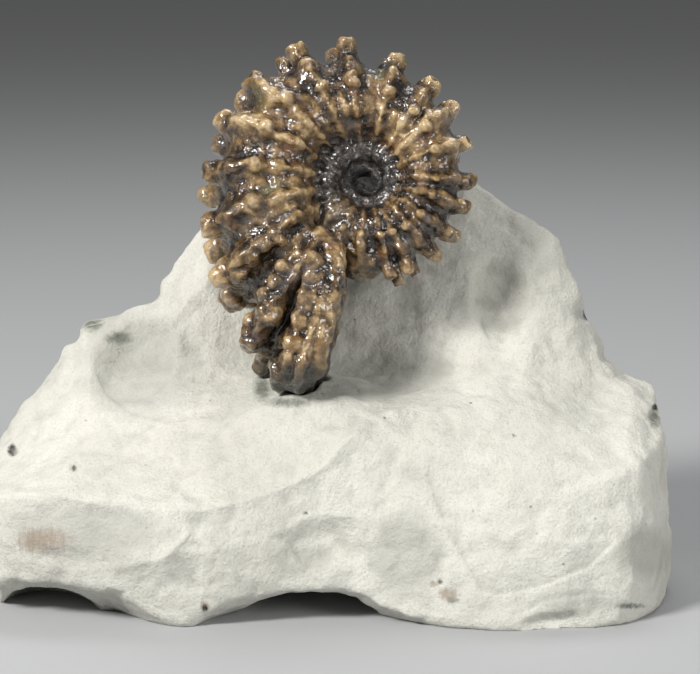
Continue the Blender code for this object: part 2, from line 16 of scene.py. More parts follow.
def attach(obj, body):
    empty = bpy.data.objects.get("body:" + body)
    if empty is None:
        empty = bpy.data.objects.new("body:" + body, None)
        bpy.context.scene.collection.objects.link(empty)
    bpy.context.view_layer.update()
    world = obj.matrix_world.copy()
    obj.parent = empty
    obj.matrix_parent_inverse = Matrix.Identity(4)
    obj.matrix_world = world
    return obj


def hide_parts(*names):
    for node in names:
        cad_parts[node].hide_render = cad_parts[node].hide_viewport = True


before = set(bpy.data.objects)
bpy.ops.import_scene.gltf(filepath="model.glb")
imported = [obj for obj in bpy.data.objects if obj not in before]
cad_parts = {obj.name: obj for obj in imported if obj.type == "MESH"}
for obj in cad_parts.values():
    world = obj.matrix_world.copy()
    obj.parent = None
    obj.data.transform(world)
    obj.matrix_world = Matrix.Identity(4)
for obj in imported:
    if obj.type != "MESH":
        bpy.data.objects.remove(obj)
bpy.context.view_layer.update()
print("packed pieces:", sorted(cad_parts))

# %% [markdown]
# ## The camera
# The photograph looks at the block from the front and about ten degrees above the table, from some
# distance, so its lines hardly converge. A long lens set back half a metre gives that. The focal
# length is worked out in pixels of the photograph first, because the same numbers later find the
# place in the picture of any point of the model. Everything below is drawn in millimetres, and
# BOX_SHIFT leads from the drawing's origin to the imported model's.

# %% Set up the camera
MM = 0.001
BOX_SHIFT = Vector((1.578, 1.671, 0.0))
PICTURE_WIDTH, PICTURE_HEIGHT = 700, 674
FOCAL_PIXELS = 2750.0
SENSOR_MM = 36.0
NEAREST_SEEN = 0.01
CAMERA_ANGLE = math.radians(10)
CAMERA_DISTANCE = 550.0
AIM = Vector((4.4, 0.0, 49.3)) + BOX_SHIFT
LOOK = Vector((0, math.cos(CAMERA_ANGLE), -math.sin(CAMERA_ANGLE)))
LOOK_UP = Vector((0, math.sin(CAMERA_ANGLE), math.cos(CAMERA_ANGLE)))
LOOK_RIGHT = Vector((1, 0, 0))
EYE = AIM - CAMERA_DISTANCE * LOOK


def add_camera():
    camera = bpy.data.objects.new("camera", bpy.data.cameras.new("camera"))
    camera.data.sensor_width = SENSOR_MM
    camera.data.lens = FOCAL_PIXELS * SENSOR_MM / PICTURE_WIDTH
    camera.data.clip_start = NEAREST_SEEN
    camera.location = EYE * MM
    camera.rotation_euler = (math.pi / 2 - CAMERA_ANGLE, 0, 0)
    bpy.context.scene.collection.objects.link(camera)
    bpy.context.scene.camera = camera


add_camera()
print("camera at", [round(value, 1) for value in EYE], "mm")

# %% [markdown]
# ## Light and floor
# The photograph has one broad light high on the left, in front, which puts small white glints on
# the left side of every peg and lets the shell's soft shadow fall to the right. A weaker light on
# the right keeps the shadows open, and a third from above and behind draws the upper edges. The
# floor is one plain sheet that reaches past the top edge of the picture, so no horizon shows.

# %% Add the light and the floor
# Each light: name, place, width and height in metres, watts, colour.
LIGHTS = [
    ("key", (-0.52, -0.48, 0.56), (0.20, 0.20), 9.6, (1.0, 0.98, 0.95)),
    ("fill", (0.78, -0.68, 0.40), (0.40, 0.40), 5.4, (1.0, 0.99, 0.97)),
    ("rim", (0.10, 0.35, 0.75), (0.40, 0.25), 2.4, (1.0, 1.0, 1.0)),
]
LIGHTS_AIM = Vector((0, 0, 0.06))
ROOM_COLOUR, ROOM_STRENGTH = (1.0, 0.99, 0.97), 0.17
FLOOR_SIZE = 9.0
FLOOR_COLOUR, FLOOR_ROUGHNESS = (0.40, 0.41, 0.42), 0.9


def add_area_light(name, place, size, power, colour):
    lamp = bpy.data.lights.new(name, "AREA")
    lamp.shape = "RECTANGLE"
    lamp.size, lamp.size_y = size
    lamp.energy = power
    lamp.color = colour
    holder = bpy.data.objects.new(name, lamp)
    holder.location = place
    aim = LIGHTS_AIM - holder.location
    holder.rotation_euler = aim.to_track_quat("-Z", "Y").to_euler()
    bpy.context.scene.collection.objects.link(holder)


def add_world():
    world = bpy.data.worlds.new("soft_room")
    world.use_nodes = True
    background = world.node_tree.nodes["Background"]
    background.inputs["Color"].default_value = (*ROOM_COLOUR, 1)
    background.inputs["Strength"].default_value = ROOM_STRENGTH
    bpy.context.scene.world = world


def add_floor():
    bm = bmesh.new()
    bmesh.ops.create_grid(bm, x_segments=2, y_segments=2, size=FLOOR_SIZE / 2)
    mesh = bpy.data.meshes.new("floor")
    bm.to_mesh(mesh)
    bm.free()
    floor = bpy.data.objects.new("floor", mesh)
    paper = bpy.data.materials.new("pale_paper")
    paper.use_nodes = True
    surface = paper.node_tree.nodes["Principled BSDF"]
    surface.inputs["Base Color"].default_value = (*FLOOR_COLOUR, 1)
    surface.inputs["Roughness"].default_value = FLOOR_ROUGHNESS
    mesh.materials.append(paper)
    bpy.context.scene.collection.objects.link(floor)


for light in LIGHTS:
    add_area_light(*light)
add_world()
bpy.context.scene.view_settings.view_transform = "Standard"
add_floor()
print(len(LIGHTS), "lights and a floor of", FLOOR_SIZE, "m")

# %% [markdown]
# ## The coil's own measures
# An ammonite grows by a fixed share each turn, so its outer edge is an equiangular spiral: one
# formula gives the radius at any angle. Angles are in degrees, 0 at the right-hand side of the
# coil and 90 at its top. This one isn't perfect: it bulges in one place, sinks in another, and its
# last part, the body chamber, opens away from the spiral and runs down into the block.

# %% Work out points on the coil
POLE = Vector((7.56, -2.0, 80.3))
LEAN = math.radians(20)
COIL_RIGHT = Vector((1, 0, 0))
COIL_UP = Vector((0, math.sin(LEAN), math.cos(LEAN)))
COIL_AWAY = Vector((0, math.cos(LEAN), -math.sin(LEAN)))
VENTER_RADIUS = 28.4
TURN = 360.0
TURN_GROWTH = 2.2
DORSAL_SHARE = 0.35
BREADTH_SHARE = 0.37
SECTION_POWER = 2.5
FIRST_ANGLE = -880
LAST_ANGLE = 257
CHAMBER_ANGLE = 205
CHAMBER_SPAN = 50
CHAMBER_RISE, RISE_POWER = 0.34, 1.3
CHAMBER_CLEARANCE, CLEARANCE_POWER = 6.2, 1.5
CHAMBER_NARROWING = 0.12
FLANK_LIMIT = 0.98
UNEVENNESS = [(138, 0.08, 25), (5, -0.05, 55)]


def coil_point(angle, radius, across):
    """Return the point at an angle and radius round the pole, a distance behind the middle plane."""
    turn = math.radians(angle)
    outward = math.cos(turn) * COIL_RIGHT + math.sin(turn) * COIL_UP
    return POLE + float(radius) * outward + float(across) * COIL_AWAY


def bump(distance, width):
    """Return a smooth hump that is 1 at no distance. It takes numbers or whole arrays."""
    return np.exp(-(distance / width) ** 2)


def spiral(angle):
    """Return the outer radius of the tube before the body chamber opens."""
    uneven = sum(share * bump(angle - place, spread) for place, share, spread in UNEVENNESS)
    return VENTER_RADIUS * TURN_GROWTH ** ((angle - TURN / 2) / TURN) * (1 + uneven)


def opening(angle):
    """Return how far the body chamber has opened, 0 before it and about 1 at its end."""
    return np.maximum(0.0, (angle - CHAMBER_ANGLE) / CHAMBER_SPAN)


def section(angle):
    """Return the tube's inner radius, outer radius and half breadth."""
    outer = spiral(angle) * (1 + CHAMBER_RISE * opening(angle) ** RISE_POWER)
    inner = DORSAL_SHARE * spiral(angle) + CHAMBER_CLEARANCE * opening(angle) ** CLEARANCE_POWER
    return inner, outer, BREADTH_SHARE * spiral(angle) * (1 - CHAMBER_NARROWING * opening(angle))


def flank_depth(angle, radius):
    """Return the half breadth of the tube at a radius from the pole."""
    inner, outer, broad = section(angle)
    share = np.minimum(FLANK_LIMIT, abs(2 * (radius - inner) / (outer - inner) - 1))
    return broad * (1 - share ** SECTION_POWER) ** (1 / SECTION_POWER)


for angle in (-180, 0, 180, LAST_ANGLE):
    print("at", angle, "degrees: inner, outer, half breadth", [round(float(v), 1) for v in section(angle)])

# %% [markdown]
# ## Ribs
# Every rib is a low ridge right round the tube, highest near the outer edge, with finer ribs
# between the strong ones on the umbilical shoulder. They could be extruded one by one. Here each
# ring of the tube is pushed out by a smooth hump that depends on the nearest rib, because then the
# ribs lean and fade as the real ones do and no seams need closing. The rib angles of the last turn
# were read from the specimen; older turns repeat evenly.

# %% Lay out the ribs
# Each peg of the last turn, which stands on a rib: its angle and the radius of its tip.
PEGS = [
    (-76, 20.8), (-65.4, 20.3), (-49.5, 20.5), (-33.9, 20.9), (-16.3, 20.6), (-0.7, 21.3),
    (21, 22.3), (40.4, 23.4), (55.7, 25.1), (76, 26.9), (98.2, 29.2), (117.8, 31.3), (139, 31.6),
    (157.4, 31.9), (177.6, 32.6), (197.4, 34.4), (214.9, 36.8), (235.5, 42.0), (247.4, 45.5),
]
LAST_RIB = 252
RIB_SPACING = 18.5
RIB_LEAN = 4.6
ROW_SHARE = 0.16
RIB_WIDTH = 4.6
FINE_RIB_WIDTH = 2.8
FLANK_RISE = 1.0
SHOULDER_RISE, SHOULDER_HEIGHT, SHOULDER_WIDTH = 1.2, 0.32, 0.22
EDGE_RISE, EDGE_HEIGHT, EDGE_WIDTH = 2.2, 0.86, 0.2
VALLEY_OF_MIDDLE, MIDDLE_WIDTH = 1.0, 0.1
CHAMBER_VALLEY, VALLEY_GAIN = 3.6, 2
VALLEY_START, VALLEY_FADE = 0.15, 0.3


def all_ribs():
    first = PEGS[0][0]
    steps = int((first - FIRST_ANGLE) / RIB_SPACING)
    older = [first - RIB_SPACING * step for step in range(steps, 0, -1)]
    return np.array(older + [angle for angle, tip in PEGS] + [LAST_RIB])


RIBS = all_ribs()


def rib_offset(angle, across, outer):
    """Return the distance in degrees from the nearest rib, which lies further on at the far side."""
    share = np.clip(across / (ROW_SHARE * outer), -1, 1)
    here = np.asarray(angle - RIB_LEAN / 2 * (1 + share))
    after = np.clip(np.searchsorted(RIBS, here), 1, len(RIBS) - 1)
    before = here - RIBS[after - 1]
    ahead = here - RIBS[after]
    return np.where(abs(before) < abs(ahead), before, ahead)


def relief(angle, height_share, across, outer):
    """Return how far the ribs push the skin out; height_share is 0 inside and 1 at the outer edge."""
    offset = rib_offset(angle, across, outer)
    main = bump(offset, RIB_WIDTH)
    between = bump(abs(offset) - RIB_SPACING / 2, FINE_RIB_WIDTH)
    shoulder = SHOULDER_RISE * bump(height_share - SHOULDER_HEIGHT, SHOULDER_WIDTH)
    edge = EDGE_RISE * bump(height_share - EDGE_HEIGHT, EDGE_WIDTH)
    middle = VALLEY_OF_MIDDLE * bump(across / outer, MIDDLE_WIDTH)
    reach = np.minimum(1.0, VALLEY_GAIN * opening(angle))
    reach = reach * np.clip((height_share - VALLEY_START) / VALLEY_FADE, 0, 1)
    valley = CHAMBER_VALLEY * reach * (1 - main)
    rise = main * (FLANK_RISE + shoulder + edge - middle) + between * shoulder - valley
    return rise * outer / VENTER_RADIUS


print(len(RIBS), "ribs, from", RIBS[0], "to", RIBS[-1], "degrees")

# %% [markdown]
# ## The tube
# The shell is a tube that widens as it winds. A curve with a bevel would give a round tube only,
# and a screw modifier keeps one section. So rings are made with create_circle, each is moved to
# its place on the spiral and pushed out by the ribs, and bridge_loops joins every ring to the one
# before it.

# %% Loft the tube along the spiral
RING_POINTS = 72
RING_STEP = 1.6
END_RINGS = 24
END_ROUNDING = 9.0
END_SHARE = 0.30
END_LEAD, END_GAP = 1, 0.2


def signed_power(value, power):
    return np.sign(value) * abs(value) ** power


def tube_ring(bm, angle):
    """Add one ring of the tube and return its edges."""
    inner, outer, broad = section(angle)
    close = min(1.0, max(0.0, (LAST_ANGLE - angle) / END_ROUNDING))
    rounding = END_SHARE + (1 - END_SHARE) * math.sqrt(1 - (1 - close) ** 2)
    middle, tall, broad = (inner + outer) / 2, (outer - inner) / 2 * rounding, broad * rounding
    turns = np.arange(RING_POINTS) * 2 * math.pi / RING_POINTS
    radial = signed_power(np.cos(turns), 2 / SECTION_POWER)
    sideways = signed_power(np.sin(turns), 2 / SECTION_POWER)
    push = relief(angle, (radial + 1) / 2, sideways * broad, spiral(angle))
    radii = middle + radial * tall + push * np.cos(turns)
    depths = sideways * broad + push * np.sin(turns)
    ring = bmesh.ops.create_circle(bm, segments=RING_POINTS, radius=1.0)["verts"]
    for vert, radius, depth in zip(ring, radii, depths):
        vert.co = coil_point(angle, radius, depth)
    return list({edge for vert in ring for edge in vert.link_edges})


def loft_tube():
    """Return a bmesh with the whole tube, closed at both ends."""
    bm = bmesh.new()
    last_step = LAST_ANGLE - END_ROUNDING - END_LEAD
    angles = list(np.arange(FIRST_ANGLE, last_step, RING_STEP))
    angles += list(np.linspace(last_step + END_GAP, LAST_ANGLE, END_RINGS))
    before = tube_ring(bm, angles[0])
    bmesh.ops.contextual_create(bm, geom=before)
    for angle in angles[1:]:
        ring = tube_ring(bm, angle)
        bmesh.ops.bridge_loops(bm, edges=before + ring)
        before = ring
    bmesh.ops.contextual_create(bm, geom=before)
    return bm


shell_bm = loft_tube()
print("tube:", len(shell_bm.verts), "points")

# %% [markdown]
# ## One peg or knob
# The pegs are the blunt stumps of hollow spines. Each one starts as a small ball from
# create_icosphere, stretched from a foot inside the tube to a tip outside it and squared off a
# little, so its sides stay straight and its top is flat.

# %% Make one knob
BALL_SUBDIVISIONS = 4
BALL_POLE = 0.01
PEG_BLUNTNESS = 2.8
PEG_TAPER = 0.10
KNOB_LEAN = 0.15


def unit_ball():
    bm = bmesh.new()
    bmesh.ops.create_icosphere(bm, subdivisions=BALL_SUBDIVISIONS, radius=1.0)
    ball = bpy.data.meshes.new("ball")
    bm.to_mesh(ball)
    bm.free()
    return ball


BALL = unit_ball()


def new_ball(bm):
    """Add a ball of radius 1 and return its points."""
    first = len(bm.verts)
    bm.from_mesh(BALL)
    bm.verts.ensure_lookup_table()
    return bm.verts[first:]


def add_knob(bm, foot, tip, radius):
    """Add a blunt-ended peg that narrows from foot to tip."""
    along = tip - foot
    turn = along.to_track_quat("Z", "Y").to_matrix()
    for vert in new_ball(bm):
        side = math.hypot(vert.co.x, vert.co.y)
        fuller = side ** (2 / PEG_BLUNTNESS) / side if side > BALL_POLE else 1.0
        height = math.copysign(abs(vert.co.z) ** (2 / PEG_BLUNTNESS), vert.co.z)
        thick = fuller * radius * (1 - PEG_TAPER * height)
        local = Vector((vert.co.x * thick, vert.co.y * thick, height * along.length / 2))
        vert.co = (foot + tip) / 2 + turn @ local


def add_flank_knob(bm, angle, radius, size, height, side):
    """Add a knob that stands out of a flank: side is -1 near and 1 far."""
    depth = float(flank_depth(angle, radius))
    foot = coil_point(angle, radius, side * (depth - size))
    tip = coil_point(angle, radius + KNOB_LEAN * height, side * (depth + height))
    add_knob(bm, foot, tip, size)


print("one ball has", len(BALL.vertices), "points")

# %% [markdown]
# ## Rows of pegs and knobs
# The pegs sit in two rows round the outer edge, and smaller knobs stand on both flanks of the ribs.
# All of them are only pushed into the tube here and grow together with it later.

# %% Put on the rows
PEG_RADIUS_SHARE = 0.094
PEG_FOOT_SHARE = 0.86
ROW_AT_FOOT, ROW_AT_TIP = 0.8, 1.3
FAR_PEG_REACH = 0.8
# Each flank knob, in shares of the outer radius: its radius, size and height.
FLANK_KNOBS = [(0.74, 0.066, 0.105), (0.57, 0.046, 0.058)]
KNOB_OFFSET = 1
SMALLEST_WHORL = 6


def peg_ends(angle, tip_radius, side):
    """Return the foot and tip of a peg: side is -1 near and 1 far."""
    outer = float(spiral(angle))
    place = angle + RIB_LEAN / 2 * (1 + side)
    row = side * ROW_SHARE * outer
    reach = tip_radius + (FAR_PEG_REACH if side > 0 else 0.0)
    foot = coil_point(place, outer * PEG_FOOT_SHARE, row * ROW_AT_FOOT)
    return foot, coil_point(place, reach, row * ROW_AT_TIP)


def add_venter_pegs(bm):
    for angle, tip_radius in PEGS:
        for side in (-1, 1):
            foot, tip = peg_ends(angle, tip_radius, side)
            add_knob(bm, foot, tip, PEG_RADIUS_SHARE * float(spiral(angle)))


def add_lateral_knobs(bm):
    for angle in RIBS:
        outer = float(spiral(angle))
        if outer < SMALLEST_WHORL or angle > CHAMBER_ANGLE:
            continue
        for side in (-1, 1):
            place = angle + RIB_LEAN / 2 * (1 + side) - KNOB_OFFSET
            for radius, size, height in FLANK_KNOBS:
                add_flank_knob(bm, place, radius * outer, size * outer, height * outer, side)


add_venter_pegs(shell_bm)
add_lateral_knobs(shell_bm)
print("tube with its rows:", len(shell_bm.verts), "points")

# %% [markdown]
# ## The gnarled body chamber
# On the body chamber each rib is a chain of knobs with a ridge running through them. The broken end
# has a broad lumpy edge, and under the coil hangs a lump with a blunt broken face. All are made of
# the same knob, laid end to end. A plug closes the very middle of the coil.

# %% Put on the chamber's ribs and the broken edge
BEAD_HEIGHT = 1.25
LINK_SIZE = 0.75
LINK_OVERLAP = 0.7
LAST_BEAD_ANGLE = 251
# Each bead of a rib: angle, radius from the pole, size.
CHAMBER_RIBS = [
    [(214.9, 34.0, 2.2), (217.9, 31.2, 2.1), (216.4, 27.5, 2.0), (217, 24.4, 1.7), (219, 21.6, 1.3)],
    [(235.5, 38.9, 2.3), (233.4, 36.2, 2.0), (236, 33.2, 2.7), (231.5, 31.0, 1.8), (231.7, 28.0, 1.9),
     (231, 24.8, 1.7), (231.5, 21.6, 1.5)],
    [(247.4, 43.0, 2.2), (245.3, 40.4, 1.9), (247.8, 36.2, 2.5), (246.6, 32.0, 2.0), (244.6, 27.4, 1.9),
     (243.5, 23.4, 1.8), (239.5, 20.6, 2.6)],
]
# Each joint of the edge and of the strip beside it: angle, radius, distance across, thickness.
END_EDGE = [(213, 16.5, 6.5, 1.5), (232, 15.6, 7.5, 1.9), (248, 16.2, 8.3, 2.6), (252.6, 22, 9.2, 2.4),
            (254, 28.4, 9.8, 2.2), (255, 35, 9.2, 2.2), (255.5, 40, 6.5, 2.2)]
END_FILL = [(248.5, 21.5, 7.0, 3.9), (250.2, 27, 8.0, 4.3), (250.8, 33, 7.9, 4.3), (251, 39, 6.4, 3.7),
            (251, 42, 4.0, 2.8)]
BROKEN_LUMP = (-93, 14.4, 5.6, 4.7)
PLUG_RADIUS, PLUG_HALF_THICKNESS = 3.2, 0.7


def add_link(bm, start, end, thick, overlap):
    """Add a knob that reaches past both of its ends by a share of its thickness."""
    reach = (end - start).normalized() * thick * overlap
    add_knob(bm, start - reach, end + reach, thick)


def add_chamber_rib(bm, chain, side):
    """Add one strong rib of the body chamber: a row of beads with a ridge running through them."""
    lean = RIB_LEAN / 2 * (1 + side)
    places = []
    for angle, radius, size in chain:
        place = min(angle + lean, LAST_BEAD_ANGLE)
        places.append(coil_point(place, radius, side * flank_depth(angle, radius)))
        add_flank_knob(bm, place, radius, size, BEAD_HEIGHT * size, side)
    for start, end, first, second in zip(places, places[1:], chain, chain[1:]):
        add_link(bm, start, end, LINK_SIZE * (first[2] + second[2]) / 2, 1.0)


def add_end_edge(bm, side):
    """Add the broken end's rounded edge and the strip beside it, one thick link after another."""
    for first, second in [*zip(END_EDGE, END_EDGE[1:]), *zip(END_FILL, END_FILL[1:])]:
        start = coil_point(first[0], first[1], side * first[2])
        end = coil_point(second[0], second[1], side * second[2])
        add_link(bm, start, end, (first[3] + second[3]) / 2, LINK_OVERLAP)


def add_broken_lump(bm):
    angle, radius, half_length, thickness = BROKEN_LUMP
    foot, tip = [coil_point(angle, radius, side * half_length) for side in (1, -1)]
    add_knob(bm, foot, tip, thickness)


def add_plug(bm):
    for vert in new_ball(bm):
        flat = PLUG_RADIUS * (vert.co.x * COIL_RIGHT + vert.co.y * COIL_UP)
        vert.co = POLE + flat + PLUG_HALF_THICKNESS * vert.co.z * COIL_AWAY


for side in (-1, 1):
    for chain in CHAMBER_RIBS:
        add_chamber_rib(shell_bm, chain, side)
    add_end_edge(shell_bm, side)
add_plug(shell_bm)
add_broken_lump(shell_bm)
print("tube with pegs and knobs:", len(shell_bm.verts), "points")

# %% [markdown]
# ## One grown skin
# A boolean union of hundreds of overlapping lumps is slow and leaves hard creases where they meet.
# A voxel remesh does the same job like plaster: it wraps one even skin round everything, and some
# rounds of smoothing soften the joins into the fillets that a grown shell has.

# %% Fuse the shell
SHELL_VOXEL = 0.30
SMOOTHING = 0.5
SHELL_ROUNDS = 8
PIECE_TRIANGLES = 190000


def modified(mesh, steps):
    """Return a new mesh: the given one after a list of modifiers, each a type and its values."""
    helper = bpy.data.objects.new("helper", mesh)
    bpy.context.scene.collection.objects.link(helper)
    for kind, values in steps:
        modifier = helper.modifiers.new(kind.lower(), kind)
        for name, value in values.items():
            setattr(modifier, name, value)
    result = bpy.data.meshes.new_from_object(helper.evaluated_get(bpy.context.evaluated_depsgraph_get()))
    bpy.data.objects.remove(helper)
    return result


def smoothing(rounds):
    """Return the modifier step that smooths a mesh so many times."""
    return "SMOOTH", {"factor": SMOOTHING, "iterations": rounds}


def fused(bm, name, voxel, rounds):
    """Return one smooth skin round everything in a bmesh."""
    bmesh.ops.recalc_face_normals(bm, faces=bm.faces)
    mesh = bpy.data.meshes.new(name)
    bm.to_mesh(mesh)
    bm.free()
    return modified(mesh, [("REMESH", {"mode": "VOXEL", "voxel_size": voxel}), smoothing(rounds)])


def thinned(mesh):
    """Return the mesh with few enough triangles, kept where the shape bends most."""
    mesh = modified(mesh, [("TRIANGULATE", {})])
    ratio = min(1.0, PIECE_TRIANGLES / len(mesh.polygons))
    return modified(mesh, [("DECIMATE", {"ratio": ratio}), ("TRIANGULATE", {})])


shell_mesh = fused(shell_bm, "shell", SHELL_VOXEL, SHELL_ROUNDS)
print("fused shell:", len(shell_mesh.vertices), "points")

# %% [markdown]
# ## Where each point is on the coil
# The finishes differ along the shell: the umbilicus is grey, the ribs are golden, the valleys are
# dark, and that dark is painted shade. Painting that by hand isn't repeatable. Because the coil is a
# formula, every point's angle, turn, height and distance above the plain tube can be worked out
# backwards, all at once with numpy, and kept on the mesh as attributes that the material reads.

# %% Find the coil place of each point
END_REACH, END_FACTOR = 14, 1.25
SEAM_WIDTH = 1.5
INNER_SLACK = 0.2
LEAST_SIZE = 0.2
LOWEST_RISE, HIGHEST_RISE = -2, 6
INNER_TURNS = 3


def points_of(mesh):
    """Return the mesh's points as an array of rows."""
    flat = np.empty(len(mesh.vertices) * 3)
    mesh.vertices.foreach_get("co", flat)
    return flat.reshape(-1, 3)


def coil_place(points):
    """Return each point's angle along the coil, radius, distance across, and height share."""
    local = points - np.array(POLE)
    x, z = local @ np.array(COIL_RIGHT), local @ np.array(COIL_UP)
    across = local @ np.array(COIL_AWAY)
    radius = np.hypot(x, z)
    angle = np.degrees(np.arctan2(z, x))
    beyond = (angle < LAST_ANGLE - TURN + END_REACH) & (radius > END_FACTOR * spiral(angle))
    angle = np.where((angle > LAST_ANGLE - TURN + SEAM_WIDTH) & ~beyond, angle, angle + TURN)
    for _ in range(INNER_TURNS):
        inner = section(angle)[0]
        further_in = (radius < inner - INNER_SLACK) & (angle > FIRST_ANGLE + TURN)
        angle = np.where(further_in, angle - TURN, angle)
    inner, outer, broad = section(angle)
    return angle, radius, across, (radius - inner) / (outer - inner)


def height_above_tube(angle, radius, across):
    """Return how far each point stands out of the plain tube."""
    inner, outer, broad = section(angle)
    middle, tall = (inner + outer) / 2, (outer - inner) / 2
    sideways = np.abs(across) / broad
    upright = np.abs(radius - middle) / tall
    size = (sideways ** SECTION_POWER + upright ** SECTION_POWER) ** (1 / SECTION_POWER)
    reach = np.hypot(across, radius - middle)
    return np.clip(reach * (1 - 1 / np.maximum(size, LEAST_SIZE)), LOWEST_RISE, HIGHEST_RISE)


shell_points = points_of(shell_mesh)
shell_place = coil_place(shell_points)
shell_rise = height_above_tube(*shell_place[:3])
print("relief from", round(float(shell_rise.min()), 1), "to", round(float(shell_rise.max()), 1), "mm")

# %% [markdown]
# ## Worn flank and broken tips
# On the left flank the ribs are worn low, and most pegs end in a small cup where the hollow spine
# broke off. Both could be sculpted by hand. Here the flank is blended towards a smoother copy of
# itself, and each cup is a shallow dish pressed into the end of its peg.

# %% Wear the flank and open the tips
WORN_ANGLE, WORN_SPREAD, WORN_SHARE, WORN_ROUNDS = 160, 45, 0.65, 30
WORN_TOP, WORN_FADE = 0.95, 0.3
CUP_WIDTH, CUP_DEPTH, CUP_REACH = 0.68, 1.0, 2.2
WHOLE_PEG_EVERY = 3


def within(value, limit, fade):
    """Return 1 well under a limit and 0 from the limit on."""
    return np.clip((limit - value) / fade, 0, 1)


def worn_flank(points, angle, share):
    """Return the points with the left flank blended towards a smoother copy."""
    smooth = points_of(modified(shell_mesh, [smoothing(WORN_ROUNDS)]))
    weight = WORN_SHARE * bump(angle - WORN_ANGLE, WORN_SPREAD) * within(share, WORN_TOP, WORN_FADE)
    return points + (smooth - points) * weight[:, None]


def cupped_tips(points):
    """Return the points with a shallow cup in the end of two pegs out of three."""
    cupped = points.copy()
    for index, (angle, tip_radius) in enumerate(PEGS):
        for side in (-1, 1):
            if (index + side) % WHOLE_PEG_EVERY == 0:
                continue
            foot, tip = peg_ends(angle, tip_radius, side)
            axis = np.array((tip - foot).normalized())
            local = points - np.array(tip)
            high = local @ axis
            off = np.linalg.norm(local - high[:, None] * axis, axis=1)
            wide = CUP_WIDTH * PEG_RADIUS_SHARE * float(spiral(angle))
            depth = CUP_DEPTH * np.clip(1 - (off / wide) ** 2, 0, 1) * np.clip(high + CUP_REACH, 0, 1)
            cupped -= (depth * (high < CUP_REACH))[:, None] * axis
    return cupped


worn_points = worn_flank(shell_points, shell_place[0], shell_place[3])
cupped_points = cupped_tips(worn_points)
print("cups up to", round(float(np.abs(cupped_points - worn_points).max()), 2), "mm deep")

# %% [markdown]
# ## Fine relief of the shell
# The real surface is lumpy, with growth lines along the ribs, small pits and bruises. Bump in the
# material alone would leave the outline smooth, so the larger part is real: each point moves along
# its normal by a sum of noises, with fine lines that follow the angle along the coil.

# %% Rough up the shell
LUMP_SIZE, LUMP_RISE = 3.4, 0.60
GRAIN_SIZE, GRAIN_RISE = 1.6, 0.34
FINE_SIZE, FINE_RISE = 0.75, 0.13
LINE_SPACING, LINE_RISE, LINE_EVENNESS = 0.75, 0.015, 0.5
ALONG_SHARE = 0.55
SEED_STEPS = (17.3, 5.1, 9.7)


def normals_of(mesh):
    flat = np.empty(len(mesh.vertices) * 3)
    mesh.vertex_normals.foreach_get("vector", flat)
    return flat.reshape(-1, 3)


def put_points(mesh, points):
    mesh.vertices.foreach_set("co", points.ravel())
    mesh.update()


def noise_at(points, size, seed):
    """Return one smooth noise value, about -1 to 1, for each point."""
    shift = Vector([seed * step for step in SEED_STEPS])
    return np.array([noise.noise(Vector(point) / size + shift) for point in points])


def way_along(angle):
    """Return the distance along the coil at the middle of an outer turn."""
    return np.radians(angle) * VENTER_RADIUS * ALONG_SHARE


def growth_lines(angle):
    """Return fine waves that cross the tube, spaced evenly along it."""
    return np.sin(2 * math.pi * way_along(angle) / LINE_SPACING)


put_points(shell_mesh, cupped_points)
shell_lumps = noise_at(cupped_points, LUMP_SIZE, 0)
shell_grain = noise_at(cupped_points, GRAIN_SIZE, 2)
shell_fine = noise_at(cupped_points, FINE_SIZE, 3)
shell_push = (LUMP_RISE * shell_lumps + GRAIN_RISE * shell_grain + FINE_RISE * shell_fine
              + LINE_RISE * growth_lines(shell_place[0]) * (LINE_EVENNESS + shell_lumps))
put_points(shell_mesh, cupped_points + normals_of(shell_mesh) * shell_push[:, None])
shell_mesh = thinned(shell_mesh)
print("shell triangles:", len(shell_mesh.polygons))

# %% [markdown]
# ## Values for the shell's material
# Each point keeps five numbers: how high it stands on a rib, how deep it lies in a hollow, its way
# along the coil, and how far it is inside the umbilicus and its dark middle. The hollow depth paints
# shade into the valleys and a faint highlight onto the edges, and the dark middle is painted shade.

# %% Keep the coil place on the mesh
HOLLOW_ROUNDS = 40
HOLLOW_DEPTH = 0.5
RIDGE_HEIGHT, LOWEST_RIDGE, HIGHEST_RIDGE = 3.2, -0.5, 1.5
INSIDE_ANGLE, INSIDE_SPAN = 95, 60
INSIDE_RADIUS, INSIDE_FADE = 15, 3
# Painted shade: inside this radius the deep middle of the umbilicus is coloured nearly black.
SHADED_MIDDLE_RADIUS, SHADED_MIDDLE_FADE = 5.6, 3.2
WOBBLE_SIZE, WOBBLE_RISE = 1.8, 1.5


def hollows_of(mesh):
    """Return how far each point lies under a smoothed copy: above 0 in hollows, below 0 on edges."""
    smooth = modified(mesh, [smoothing(HOLLOW_ROUNDS)])
    under = ((points_of(smooth) - points_of(mesh)) * normals_of(smooth)).sum(axis=1)
    return np.clip(under / HOLLOW_DEPTH, -1, 1)


def keep_values(mesh, name, values):
    """Store one number for each point."""
    attribute = mesh.attributes.new(name, "FLOAT", "POINT")
    attribute.data.foreach_set("value", np.asarray(values, dtype=np.float32))


shell_points = points_of(shell_mesh)
angle, radius, across, share = coil_place(shell_points)
rise = height_above_tube(angle, radius, across)
wobble = noise_at(shell_points, WOBBLE_SIZE, 7)
keep_values(shell_mesh, "ridge", np.clip(rise / RIDGE_HEIGHT, LOWEST_RIDGE, HIGHEST_RIDGE))
# Painted shade and highlight: this depth darkens the valleys and lightens the edges in the materials.
keep_values(shell_mesh, "hollow_and_edge_shading", hollows_of(shell_mesh))
keep_values(shell_mesh, "along", way_along(angle))
inside = within(angle, -INSIDE_ANGLE, INSIDE_SPAN) * within(radius, INSIDE_RADIUS, INSIDE_FADE)
keep_values(shell_mesh, "inside", inside)
